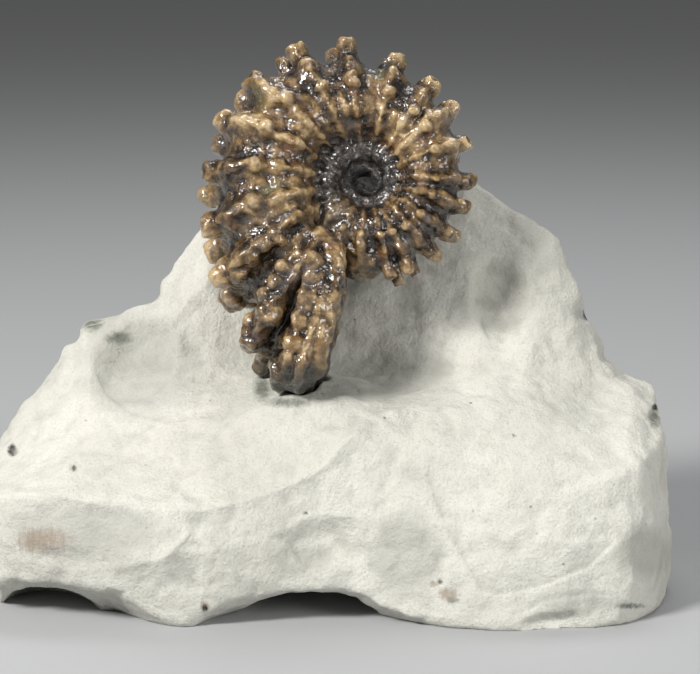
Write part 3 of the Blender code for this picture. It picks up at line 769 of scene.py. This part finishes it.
# Painted shade: 'depth' marks the deep middle of the umbilicus, which the material colours nearly black.
keep_values(shell_mesh, "depth", within(radius, SHADED_MIDDLE_RADIUS + WOBBLE_RISE * wobble, SHADED_MIDDLE_FADE))
print("points inside the umbilicus:", int((inside > 0.5).sum()))

# %% [markdown]
# ## Mixing a finish
# Both materials are built of the same few kinds of nodes. The class below holds one material and
# adds a node at each call, whose inputs take a number, a colour or another node's output.

# %% Write the helper for finishes


class Finish:
    """A material that is mixed node by node."""

    def __init__(self, name):
        self.material = bpy.data.materials.new(name)
        self.material.use_nodes = True
        self.nodes = self.material.node_tree.nodes
        self.links = self.material.node_tree.links
        self.surface = self.nodes["Principled BSDF"].inputs
        self.place = self.nodes.new("ShaderNodeTexCoord").outputs["Object"]

    def put(self, value, socket):
        """Link an output to a socket, or set the socket to a number or colour."""
        if isinstance(value, bpy.types.NodeSocket):
            self.links.new(value, socket)
        elif socket.type == "RGBA":
            socket.default_value = (*value, 1)
        else:
            socket.default_value = value

    def add(self, kind, inputs):
        """Add a node and fill its named inputs."""
        node = self.nodes.new(kind)
        for name, value in inputs.items():
            self.put(value, node.inputs[name])
        return node

    def noise(self, scale, detail, roughness, place=None):
        place = self.place if place is None else place
        values = {"Vector": place, "Scale": scale, "Detail": detail, "Roughness": roughness}
        return self.add("ShaderNodeTexNoise", values).outputs["Fac"]

    def stored(self, name):
        """Read a value that is kept on the mesh."""
        node = self.nodes.new("ShaderNodeAttribute")
        node.attribute_name = name
        return node.outputs["Fac"]

    def calculate(self, operation, *values):
        node = self.nodes.new("ShaderNodeMath")
        node.operation = operation
        for socket, value in zip(node.inputs, values):
            self.put(value, socket)
        return node.outputs["Value"]

    def times(self, value, weight):
        return self.calculate("MULTIPLY", value, weight)

    def plus(self, first, second):
        return self.calculate("ADD", first, second)

    def spread(self, value, low, high):
        """Spread a value's range from low to high over 0 to 1."""
        node = self.add("ShaderNodeMapRange", {"Value": value, "From Min": low, "From Max": high})
        node.clamp = True
        return node.outputs["Result"]

    def ramp(self, value, stops):
        """Turn a value into a colour by a list of places and colours."""
        node = self.add("ShaderNodeValToRGB", {"Fac": value})
        elements = node.color_ramp.elements
        while len(elements) < len(stops):
            elements.new(0.5)
        for element, (place, colour) in zip(elements, stops):
            element.position = place
            element.color = (*colour, 1)
        return node.outputs["Color"]

    def mix(self, factor, first, second):
        node = self.nodes.new("ShaderNodeMix")
        node.data_type = "RGBA"
        for name, value in (("Factor", factor), ("A", first), ("B", second)):
            self.put(value, [entry for entry in node.inputs if entry.name == name and entry.enabled][0])
        return [entry for entry in node.outputs if entry.enabled][0]

    def bump(self, height, strength, distance, socket="Normal"):
        """Add bump to the surface, or to the coat over it."""
        node = self.add("ShaderNodeBump", {"Height": height, "Strength": strength, "Distance": distance})
        self.put(node.outputs["Normal"], self.surface[socket])


# %% [markdown]
# ## The shell's finish
# The fossil is calcite with a waxed gloss: mostly brown, golden tan on the ridges, nearly black in
# the valleys, olive in places and grey-lilac inside the umbilicus. Three noises and the stored
# relief add up to one tone, which a ramp turns into browns, and tinted patches lie over it. The
# relief's darkening of the valleys is painted shade, its slight lightening of the edges is painted
# highlight, and the nearly black middle of the umbilicus is painted shade. Towards the block the
# skin is stained dark. The gloss comes from low roughness under a clear coat, and the coat has its
# own, coarser bump, which breaks the light into small glints.

# %% Choose the shell's colours
# Each noise: scale, detail, roughness.
PATCHES, SPECKLE, SHADE = (170, 7.0, 0.66), (700, 5.0, 0.65), (62, 3.0, 0.5)
# The negative hollow weight paints shade into the valleys and a faint highlight onto the edges.
TONE_WEIGHTS = {"patches": 0.95, "ridge": 0.04, "speckle": 0.38, "hollow_and_edge_shading": -0.28, "shade": 0.85}
TONE_START = -0.62
SHELL_TONES = [
    (0.30, (0.004, 0.0025, 0.0015)), (0.40, (0.022, 0.012, 0.005)), (0.51, (0.090, 0.052, 0.020)),
    (0.64, (0.225, 0.140, 0.056)), (0.80, (0.48, 0.35, 0.185)),
]
# Each kind of patch: its noise, where it starts and is full, its weight and its tint.
TINTED_PATCHES = [
    ((95, 3.0, 0.5), 0.55, 0.68, 0.4, (0.17, 0.145, 0.13)),
    ((310, 4.0, 0.6), 0.57, 0.67, 0.4, (0.20, 0.16, 0.14)),
    ((240, 4.0, 0.6), 0.57, 0.67, 0.6, (0.17, 0.078, 0.03)),
    ((120, 2.0, 0.5), 0.62, 0.72, 0.6, (0.13, 0.115, 0.048)),
]
UMBILICUS_TONES = [
    (0.34, (0.006, 0.005, 0.004)), (0.54, (0.050, 0.041, 0.034)), (0.76, (0.24, 0.21, 0.185)),
]
# Painted shade for the deep middle of the umbilicus.
MIDDLE_SHADE_WEIGHT, MIDDLE_SHADE_TINT = 0.95, (0.006, 0.005, 0.005)
STAIN_TOP, STAIN_BOTTOM = 0.0505, 0.0420
STAIN_START, STAIN_FULL = 0.62, 1.20
STAIN_WEIGHT, STAIN_TINT = 0.85, (0.022, 0.022, 0.014)


def shell_colour(finish, patches, speckle, depth):
    """Mix the shell's colour and return it."""
    values = {"patches": patches, "ridge": finish.stored("ridge"), "speckle": speckle,
              "hollow_and_edge_shading": finish.stored("hollow_and_edge_shading"), "shade": finish.noise(*SHADE)}
    tone = TONE_START
    for name, weight in TONE_WEIGHTS.items():
        tone = finish.plus(tone, finish.times(values[name], weight))
    colour = finish.ramp(tone, SHELL_TONES)
    for texture, start, full, weight, tint in TINTED_PATCHES:
        share = finish.spread(finish.noise(*texture), start, full)
        colour = finish.mix(finish.times(share, weight), colour, tint)
    colour = finish.mix(finish.stored("inside"), colour, finish.ramp(speckle, UMBILICUS_TONES))
    # Painted shade: the deep middle of the umbilicus turns nearly black.
    colour = finish.mix(finish.times(depth, MIDDLE_SHADE_WEIGHT), colour, MIDDLE_SHADE_TINT)
    height = finish.add("ShaderNodeSeparateXYZ", {"Vector": finish.place}).outputs["Z"]
    low = finish.spread(height, STAIN_TOP, STAIN_BOTTOM)
    mark = finish.spread(finish.plus(low, patches), STAIN_START, STAIN_FULL)
    return finish.mix(finish.times(mark, STAIN_WEIGHT), colour, STAIN_TINT)


print(len(SHELL_TONES), "browns and", len(TINTED_PATCHES), "kinds of patches")

# %% Mix the shell's material
MATT_SPECKLE, GLOSSY_SPECKLE = 0.8, 0.2
ROUGHNESS_RANGE, LEAST_ROUGHNESS = 0.22, 0.12
CALCITE_IOR, SHELL_SPECULAR = 1.5, 0.35
COAT_ROUGHNESS = 0.05
LINES_PER_MM, LINES_WEIGHT = 14.0, 0.015
SHELL_GRAIN, SHELL_GRAIN_STRENGTH, SHELL_GRAIN_HEIGHT = (950, 4.0, 0.6), 0.8, 0.0006
COAT_RIPPLE, COAT_RIPPLE_STRENGTH, COAT_RIPPLE_HEIGHT = (520, 2.0, 0.5), 0.9, 0.0008


def shell_material():
    finish = Finish("glossy_fossil_shell")
    patches = finish.noise(*PATCHES)
    speckle = finish.noise(*SPECKLE)
    depth = finish.stored("depth")
    surface = finish.surface
    finish.put(shell_colour(finish, patches, speckle, depth), surface["Base Color"])
    rough = finish.spread(speckle, GLOSSY_SPECKLE, MATT_SPECKLE)
    rough = finish.calculate("MULTIPLY_ADD", rough, ROUGHNESS_RANGE, LEAST_ROUGHNESS)
    finish.put(rough, surface["Roughness"])
    surface["IOR"].default_value = CALCITE_IOR
    surface["Specular IOR Level"].default_value = SHELL_SPECULAR
    # Painted shade: the coat fades out over the deep middle, so it shows no reflection there.
    finish.put(finish.calculate("SUBTRACT", 1.0, depth), surface["Coat Weight"])
    surface["Coat Roughness"].default_value = COAT_ROUGHNESS
    lines = finish.calculate("SINE", finish.times(finish.stored("along"), LINES_PER_MM))
    grain = finish.plus(finish.noise(*SHELL_GRAIN), finish.times(lines, LINES_WEIGHT))
    finish.bump(grain, SHELL_GRAIN_STRENGTH, SHELL_GRAIN_HEIGHT)
    finish.bump(finish.noise(*COAT_RIPPLE), COAT_RIPPLE_STRENGTH, COAT_RIPPLE_HEIGHT, "Coat Normal")
    return finish.material


shell_finish = shell_material()
print("shell finish:", len(shell_finish.node_tree.nodes), "nodes")

# %% [markdown]
# ## The block
# The marl block is broken, not carved: broad soft dishes meet in blunt edges, with a flat foot that
# it stands on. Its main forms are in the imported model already, so a copy of that mesh is merged and
# remeshed finely, and only the skin is new.

# %% Copy and remesh the block
BLOCK_VOXEL = 0.5
BLOCK_ROUNDS = 2
MERGE_DISTANCE = 0.01


def copied_block():
    bm = bmesh.new()
    bm.from_mesh(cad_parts["matrix"].data)
    bmesh.ops.remove_doubles(bm, verts=bm.verts, dist=MERGE_DISTANCE * MM)
    bmesh.ops.transform(bm, verts=bm.verts, matrix=Matrix.Scale(1 / MM, 4))
    bmesh.ops.translate(bm, verts=bm.verts, vec=-BOX_SHIFT)
    return bm


block_mesh = fused(copied_block(), "block", BLOCK_VOXEL, BLOCK_ROUNDS)
print("block:", len(block_mesh.vertices), "points")

# %% [markdown]
# ## Edges of the fracture faces
# Where two fracture faces meet, the marl has a crisp edge, and a scar's rim is a small step. The
# lines were read from the photograph and are kept as pixels of it. Each point of the block that
# faces the camera is projected into the picture, and its distance from a line, turned into
# millimetres, sets how far it moves. Cutting each scar with a boolean would give the same edges
# but would need a cutter drawn for every one.

# %% Find the block's points in the picture
MM_PER_PIXEL = CAMERA_DISTANCE / FOCAL_PIXELS
FAR_OFF = 1e9
LINE_FADE = 6
FACING_GAIN = 4


def picture_place(points):
    """Return the pixel of the photograph at which each point appears."""
    local = points + np.array(BOX_SHIFT - EYE)
    depth = local @ np.array(LOOK)
    across = PICTURE_WIDTH / 2 + FOCAL_PIXELS * (local @ np.array(LOOK_RIGHT)) / depth
    down = PICTURE_HEIGHT / 2 - FOCAL_PIXELS * (local @ np.array(LOOK_UP)) / depth
    return np.stack([across, down], axis=1)


def facing_camera(normals, cut=0.0):
    """Return 1 where the surface faces the camera and 0 where it turns away."""
    return np.clip(-(normals @ np.array(LOOK)) * FACING_GAIN - cut, 0, 1)


def line_offset(pixels, line):
    """Return each pixel's signed distance from a line, and a fade towards the line's ends."""
    best = np.full(len(pixels), FAR_OFF)
    fade = np.zeros(len(pixels))
    for index, (start, end) in enumerate(zip(line, line[1:])):
        start, along = np.array(start, float), np.array(end, float) - np.array(start, float)
        share = (pixels - start) @ along / (along @ along)
        inner = np.clip(share, 0, 1)
        gap = pixels - start - inner[:, None] * along
        side = np.sign(along[0] * gap[:, 1] - along[1] * gap[:, 0])
        distance = np.hypot(gap[:, 0], gap[:, 1])
        closer = distance < abs(best)
        best = np.where(closer, distance * side, best)
        done = np.clip((index + inner) / (len(line) - 1), 0, 1)
        fade = np.where(closer, np.minimum(1, LINE_FADE * np.minimum(done, 1 - done)), fade)
    return best, fade


block_points = points_of(block_mesh)
block_normals = normals_of(block_mesh)
print(int((facing_camera(block_normals) > 0).sum()), "points face the camera; a pixel is", MM_PER_PIXEL, "mm")

# %% Draw the edges, steps, pits and notches
EDGE_REACH = 1.2
STEP_SHARPNESS, STEP_REACH = 0.5, 6.0
# Each edge or step: its height in mm and its line in the picture.
EDGE_LINES = [
    (1.1, [(-20, 493), (30, 494), (60, 497), (100, 505), (150, 511), (200, 512), (250, 501), (295, 485),
           (325, 467), (345, 445), (370, 421), (400, 412), (440, 406), (470, 418)]),
    (0.7, [(195, 527), (215, 550), (240, 582)]),
    (0.7, [(195, 527), (178, 545), (160, 560), (120, 566)]),
    (0.5, [(193, 575), (212, 590), (231, 600)]),
    (0.5, [(165, 335), (190, 300), (215, 275), (235, 262)]),
]
STEP_LINES = [
    (0.55, [(640, 530), (615, 545), (590, 570), (550, 586), (500, 598), (480, 593), (462, 562),
            (441, 522), (426, 480), (431, 436)]),
    (0.3, [(510, 358), (492, 350), (480, 320), (482, 280), (493, 250)]),
    (0.35, [(240, 430), (205, 418), (165, 424), (130, 415), (105, 395), (86, 352)]),
    (0.5, [(312, 573), (300, 565), (290, 547), (272, 540)]),
    (0.7, [(640, 600), (590, 596), (545, 603), (520, 618)]),
]
# Each pit or notch: its pixel, its radius in pixels and its depth in mm.
PITS = [(12, 450, 4.5, 1.8), (74, 468, 2.8, 0.9), (655, 415, 6, 0.6), (440, 582, 2.5, 0.5)]
NOTCHES = [(70, 334, 9, 1.6), (148, 291, 10, 1.8), (162, 268, 7, 1.2), (584, 313, 9, 0.9),
           (606, 356, 8, 0.8)]
PIT_POWER, NOTCH_POWER = 4, 2
RIPPLES_AT, RIPPLES_SIZE = (450, 465), (24, 34)
RIPPLE_LENGTH, RIPPLE_RISE, RIPPLE_SLANT = 9.0, 0.035, 0.5
FACING_CUT = 0.4


def dented(push, pixels, places, power):
    """Return the push less round dents; a higher power gives them steeper walls."""
    for across, down, radius, depth in places:
        share = np.hypot(pixels[:, 0] - across, pixels[:, 1] - down) / radius
        push = push - depth * np.exp(-share ** power)
    return push


def fracture_push(points, normals):
    """Return how far the drawn edges, steps, pits and ripples move each point that faces the camera."""
    pixels = picture_place(points)
    push = np.zeros(len(points))
    for height, line in EDGE_LINES:
        distance, fade = line_offset(pixels, line)
        push += fade * height * np.exp(-abs(distance) * MM_PER_PIXEL / EDGE_REACH)
    for height, line in STEP_LINES:
        distance, fade = line_offset(pixels, line)
        inside = np.clip(distance * MM_PER_PIXEL / STEP_SHARPNESS, 0, 1)
        push -= fade * height * inside * np.exp(-abs(distance) * MM_PER_PIXEL / STEP_REACH)
    push = dented(push, pixels, PITS, PIT_POWER)
    offset = (pixels - np.array(RIPPLES_AT)) / np.array(RIPPLES_SIZE)
    near = np.exp(-(offset ** 2).sum(axis=1) ** 2)
    slanted = pixels[:, 0] + RIPPLE_SLANT * pixels[:, 1]
    push += RIPPLE_RISE * near * np.sin(2 * math.pi * slanted / RIPPLE_LENGTH)
    return dented(push * facing_camera(normals, FACING_CUT), pixels, NOTCHES, NOTCH_POWER)


block_push = fracture_push(block_points, block_normals)
print("drawn forms from", round(float(block_push.min()), 1), "to", round(float(block_push.max()), 1), "mm")

# %% [markdown]
# ## The broken skin of the block
# Marl breaks in small flat flakes and leaves a fine, sugary surface. Voronoi cells give the flakes,
# which are stronger in some places than in others, and two noises give pebbles and crumbs. The foot
# stays flat: the push fades out near the floor.

# %% Rough up the block
FLAKE_SIZE, FLAKE_RISE, FLAKE_TOP, FLAKE_LEVEL = 7.0, 0.55, 0.5, 0.25
PEBBLE_SIZE, PEBBLE_RISE = 2.6, 0.22
CRUMB_SIZE, CRUMB_RISE = 1.0, 0.09
WAVE_SIZE = 14.0
FOOT_FADE = 1.5


def cells_at(points, size):
    """Return for each point how near it is to the border of its voronoi cell, 0 at the border."""
    found = [noise.voronoi(Vector(point) / size)[0] for point in points]
    return np.array([entry[1] - entry[0] for entry in found])


flakes = np.minimum(cells_at(block_points, FLAKE_SIZE), FLAKE_TOP)
pebbles = noise_at(block_points, PEBBLE_SIZE, 4)
crumbs = noise_at(block_points, CRUMB_SIZE, 5)
waves = noise_at(block_points, WAVE_SIZE, 6)
skin_push = FLAKE_RISE * (flakes - FLAKE_LEVEL) * (1 + waves) + PEBBLE_RISE * pebbles + CRUMB_RISE * crumbs
block_push = (skin_push + block_push) * np.clip(block_points[:, 2] / FOOT_FADE, 0, 1)
put_points(block_mesh, block_points + block_normals * block_push[:, None])
block_mesh = thinned(block_mesh)
print("block triangles:", len(block_mesh.polygons))

# %% [markdown]
# ## Stains, marks and painted shade
# A few marks are part of this specimen: green speckled patches at the right end and round the
# shell's foot, a rusty scratched patch at the left, and grey stains low down. The dark spots are
# painted shade in the bottoms of two small holes and of notches, with a few dark marks, and part of
# the grey is painted shadow of the shell on the wall and painted shade in hollows. Each is a soft
# oval in the picture, kept on the mesh as a share from 0 to 1 that the material breaks up by noise.

# %% Place the stains and the painted shade
# Each oval in the picture: its centre and its half sizes.
STAINS_AND_SHADE = {
    # Painted shade in the bottoms of holes and notches, with a few dark marks.
    "hole_shade_and_dark_marks": [(12, 450, 5, 8), (74, 468, 3, 4), (85, 320, 5, 3), (440, 582, 3, 3), (305, 513, 3, 2),
             (205, 608, 4, 5), (655, 407, 4, 5), (586, 314, 4, 8), (514, 436, 2, 2)],
    "green": [(655, 418, 10, 16), (92, 324, 20, 12), (120, 338, 24, 10), (262, 388, 14, 22),
              (290, 402, 36, 9), (630, 606, 26, 5), (452, 600, 12, 6)],
    "rust": [(40, 540, 46, 22), (434, 584, 7, 6), (448, 594, 18, 10), (205, 606, 10, 8)],
    # Grey stains, and painted shade: the shell's painted shadow on the wall and the shade of hollows.
    "grey_stain_and_shadow": [(140, 365, 62, 52), (405, 555, 34, 44), (645, 552, 32, 26), (300, 560, 34, 16),
             (395, 376, 60, 30), (90, 530, 80, 26), (580, 602, 44, 13)],
}
OVAL_EDGE = 1.25


def stain_and_shade_share(pixels, spots):
    """Return how strongly each pixel is covered by soft ovals of stain and painted shade."""
    share = np.zeros(len(pixels))
    for across, down, half_width, half_height in spots:
        offset = np.hypot((pixels[:, 0] - across) / half_width, (pixels[:, 1] - down) / half_height)
        share = np.maximum(share, np.clip(OVAL_EDGE - offset, 0, 1))
    return share


block_pixels = picture_place(points_of(block_mesh))
front = facing_camera(normals_of(block_mesh))
for mark, spots in STAINS_AND_SHADE.items():
    keep_values(block_mesh, mark, front * stain_and_shade_share(block_pixels, spots))
# Painted shade: how deep each point lies in a hollow, which darkens the marl's colour.
keep_values(block_mesh, "hollow_and_edge_shading", hollows_of(block_mesh))
print("stains:", {mark: len(spots) for mark, spots in STAINS_AND_SHADE.items()})

# %% [markdown]
# ## The block's finish
# Marl is matt and almost white, with faint grey and yellowish clouds and tiny dark specks. Hollows
# are coloured a little darker, which is painted shade. Its grain is bump from two noises, because it is much
# finer than the mesh.

# %% Choose the block's colours
CLOUDS = (28, 5.0, 0.6)
MARL_TONES = [(0.30, (0.50, 0.495, 0.45)), (0.5, (0.61, 0.605, 0.55)), (0.7, (0.68, 0.675, 0.62))]
CLOUDY, SPOTTY, STREAKY = (160, 6.0, 0.7), (700, 6.0, 0.75), (1300, 3.0, 0.6)
STREAK_STRETCH = (1.0, 1.0, 0.13)
# Each stain and painted shade: its tint, its weight, the noise that breaks it up and where it starts.
STAIN_AND_SHADE_FINISHES = {
    # Partly grey stain, partly painted shadow of the shell and painted shade in hollows.
    "grey_stain_and_shadow": ((0.34, 0.34, 0.31), 0.5, "cloudy", 0.55),
    "green": ((0.10, 0.115, 0.09), 0.85, "spotty", 1.0),
    "rust": ((0.30, 0.235, 0.175), 0.8, "streaky", 1.0),
    # Mostly painted shade in holes and notches, with a few dark marks.
    "hole_shade_and_dark_marks": ((0.03, 0.03, 0.025), 1.0, "spotty", 0.75),
}
BREAKUP_RANGE = 0.5
# Painted shade: the hollows of the block are coloured darker grey.
DEEP_HOLLOW, HOLLOW_SHADE_WEIGHT, HOLLOW_SHADE_TINT = 0.8, 0.5, (0.30, 0.30, 0.27)
SAND, SAND_START, SAND_FULL = (2100, 3.0, 0.75), 0.50, 0.68
SAND_WEIGHT, SAND_TINT = 0.42, (0.34, 0.34, 0.30)
SPECK_SCALE, SPECK_EDGE, SPECK_FULL, SPECK_TINT = 420, 0.16, 0.08, (0.20, 0.18, 0.16)
SPECKED_PARTS, SPECKED_START, SPECKED_FULL = (260, 2.0, 0.5), 0.62, 0.72


def marl_colour(finish):
    """Mix the marl's colour and return it."""
    colour = finish.ramp(finish.noise(*CLOUDS), MARL_TONES)
    streaks = finish.add("ShaderNodeMapping", {"Vector": finish.place, "Scale": STREAK_STRETCH})
    breakup = {
        "cloudy": finish.noise(*CLOUDY),
        "spotty": finish.noise(*SPOTTY),
        "streaky": finish.noise(*STREAKY, streaks.outputs["Vector"]),
    }
    for mark, (tint, weight, kind, start) in STAIN_AND_SHADE_FINISHES.items():
        share = finish.spread(finish.plus(finish.stored(mark), breakup[kind]), start, start + BREAKUP_RANGE)
        colour = finish.mix(finish.times(share, weight), colour, tint)
    # Painted shade in the hollows.
    hollow_shade = finish.spread(finish.stored("hollow_and_edge_shading"), 0.0, DEEP_HOLLOW)
    colour = finish.mix(finish.times(hollow_shade, HOLLOW_SHADE_WEIGHT), colour, HOLLOW_SHADE_TINT)
    sand = finish.spread(finish.noise(*SAND), SAND_START, SAND_FULL)
    colour = finish.mix(finish.times(sand, SAND_WEIGHT), colour, SAND_TINT)
    specks = finish.add("ShaderNodeTexVoronoi", {"Vector": finish.place, "Scale": SPECK_SCALE})
    dots = finish.spread(specks.outputs["Distance"], SPECK_EDGE, SPECK_FULL)
    parts = finish.spread(finish.noise(*SPECKED_PARTS), SPECKED_START, SPECKED_FULL)
    return finish.mix(finish.times(dots, parts), colour, SPECK_TINT)


print(len(STAIN_AND_SHADE_FINISHES), "kinds of stains over", len(MARL_TONES), "pale tones")

# %% Mix the block's material
MARL_ROUGHNESS, MARL_SPECULAR = 0.88, 0.3
MARL_GRAIN, MARL_GRAIN_WEIGHT, MARL_LUMPS = (1500, 4.0, 0.7), 0.6, (320, 5.0, 0.6)
MARL_BUMP_STRENGTH, MARL_BUMP_HEIGHT = 0.75, 0.0008


def marl_material():
    finish = Finish("pale_marl")
    finish.put(marl_colour(finish), finish.surface["Base Color"])
    finish.surface["Roughness"].default_value = MARL_ROUGHNESS
    finish.surface["Specular IOR Level"].default_value = MARL_SPECULAR
    grain = finish.times(finish.noise(*MARL_GRAIN), MARL_GRAIN_WEIGHT)
    finish.bump(finish.plus(grain, finish.noise(*MARL_LUMPS)), MARL_BUMP_STRENGTH, MARL_BUMP_HEIGHT)
    return finish.material


marl_finish = marl_material()
print("marl finish:", len(marl_finish.node_tree.nodes), "nodes")

# %% [markdown]
# ## Put the pieces in place
# Both meshes were drawn in millimetres in the specimen's own frame. They are shifted and scaled
# into metres in their points, so each object stays at the origin. Then each piece rides on the one
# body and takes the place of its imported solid.

# %% Finish the pieces


def finished(name, mesh, material, node):
    mesh.transform(Matrix.Scale(MM, 4) @ Matrix.Translation(BOX_SHIFT))
    mesh.name = name
    mesh.materials.clear()
    mesh.materials.append(material)
    mesh.shade_smooth()
    piece = bpy.data.objects.new(name, mesh)
    bpy.context.scene.collection.objects.link(piece)
    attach(piece, "root")
    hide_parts(node)


finished("fossil_shell", shell_mesh, shell_finish, "ammonite")
finished("marl_block", block_mesh, marl_finish, "matrix")
